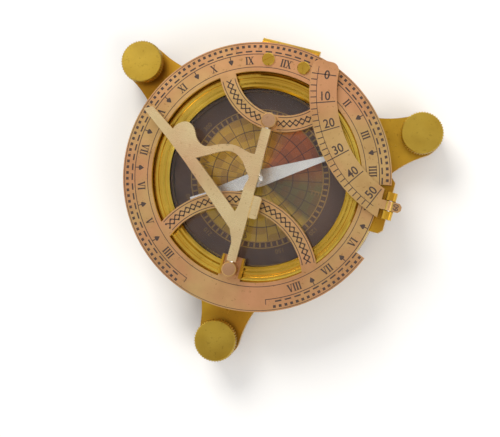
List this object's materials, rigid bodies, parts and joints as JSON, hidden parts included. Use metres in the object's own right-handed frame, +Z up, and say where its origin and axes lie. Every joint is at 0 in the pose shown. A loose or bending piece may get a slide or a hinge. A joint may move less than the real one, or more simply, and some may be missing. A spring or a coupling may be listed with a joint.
{
  "type": "folding sundial compass",
  "caption": "Brass pocket sundial: a compass bowl on levelling screws with a hinged hour ring, a folding gnomon and a folding latitude arc.",
  "frame": {"origin": "on the bowl's axis in the plane of the three feet", "axes": "+Z up along the bowl's axis, +Y towards the hour ring's hinge (twelve o'clock), +X towards the latitude arc's hinge"},
  "size_m": [0.1256, 0.1224, 0.0346],
  "materials": {
    "bright_brass": "polished",
    "satin_brass": "satin, turned",
    "rose_brass": "brushed",
    "steel": "polished",
    "needle_cap": "polished",
    "glass": "clear",
    "card": "printed",
    "engraving": "black fill"
  },
  "bodies": {
    "base": {"tripod_base": "satin_brass", "arm_rivets": "satin_brass", "compass_bowl": "bright_brass", "bezel_ring": "bright_brass", "glass_window": "glass", "glass_retaining_ring": "bright_brass", "compass_card": "card", "needle_pivot": "steel", "ring_hinge_block": "bright_brass", "ring_hinge_pin": "steel", "side_block": "bright_brass"},
    "hour_ring": {"hour_ring": "rose_brass", "ring_hinge_leaf": "bright_brass", "leaf_screws": "bright_brass", "gnomon_post_upper": "rose_brass", "gnomon_post_lower": "rose_brass", "post_saddle": "rose_brass", "arc_bracket": "rose_brass", "arc_hinge_pin": "steel"},
    "gnomon": {"gnomon_plate": "rose_brass", "gnomon_pivot_pins": "steel"},
    "latitude_arc": {"latitude_arc": "rose_brass"},
    "needle": {"compass_needle": "steel", "needle_cap": "needle_cap"},
    "foot_a": {"levelling_foot_a": "satin_brass"},
    "knob_a": {"levelling_knob_a": "satin_brass"},
    "foot_b": {"levelling_foot_b": "satin_brass"},
    "knob_b": {"levelling_knob_b": "satin_brass"},
    "foot_c": {"levelling_foot_c": "satin_brass"},
    "knob_c": {"levelling_knob_c": "satin_brass"}
  },
  "joints": [
    {"name": "ring_tilt", "type": "hinge", "parent": "base", "child": "hour_ring", "pos_m": [0, 0.0492, 0.0231], "axis": [-1, 0, 0], "range_deg": [0, 90]},
    {"name": "arc_fold", "type": "hinge", "parent": "hour_ring", "child": "latitude_arc", "pos_m": [0.0502, 0.0019, 0.0299], "axis": [0, 1, 0], "range_deg": [0, 90]},
    {"name": "gnomon_fold", "type": "hinge", "parent": "hour_ring", "child": "gnomon", "pos_m": [0, -0.0072, 0.0326], "axis": [0, 1, 0], "range_deg": [0, 90]},
    {"name": "needle_turn", "type": "hinge", "parent": "base", "child": "needle", "pos_m": [0, 0, 0.0152], "axis": [0, 0, 1], "continuous": true},
    {"name": "screw_a_rise", "type": "slide", "parent": "base", "child": "foot_a", "axis": [0, 0, 1], "range_m": [-0.001, 0.001]},
    {"name": "screw_a_turn", "type": "hinge", "parent": "foot_a", "child": "knob_a", "pos_m": [0.05482, 0.03165, 0.017], "axis": [0, 0, 1], "range_deg": [-360, 360]},
    {"name": "screw_b_rise", "type": "slide", "parent": "base", "child": "foot_b", "axis": [0, 0, 1], "range_m": [-0.001, 0.001]},
    {"name": "screw_b_turn", "type": "hinge", "parent": "foot_b", "child": "knob_b", "pos_m": [-0.05482, 0.03165, 0.017], "axis": [0, 0, 1], "range_deg": [-360, 360]},
    {"name": "screw_c_rise", "type": "slide", "parent": "base", "child": "foot_c", "axis": [0, 0, 1], "range_m": [-0.001, 0.001]},
    {"name": "screw_c_turn", "type": "hinge", "parent": "foot_c", "child": "knob_c", "pos_m": [0, -0.0633, 0.017], "axis": [0, 0, 1], "range_deg": [-360, 360]}
  ],
  "couplings": [
    {"joint": "screw_a_turn", "follows": "screw_a_rise", "rad_per_m": 6280},
    {"joint": "screw_b_turn", "follows": "screw_b_rise", "rad_per_m": 6280},
    {"joint": "screw_c_turn", "follows": "screw_c_rise", "rad_per_m": 6280}
  ]
}
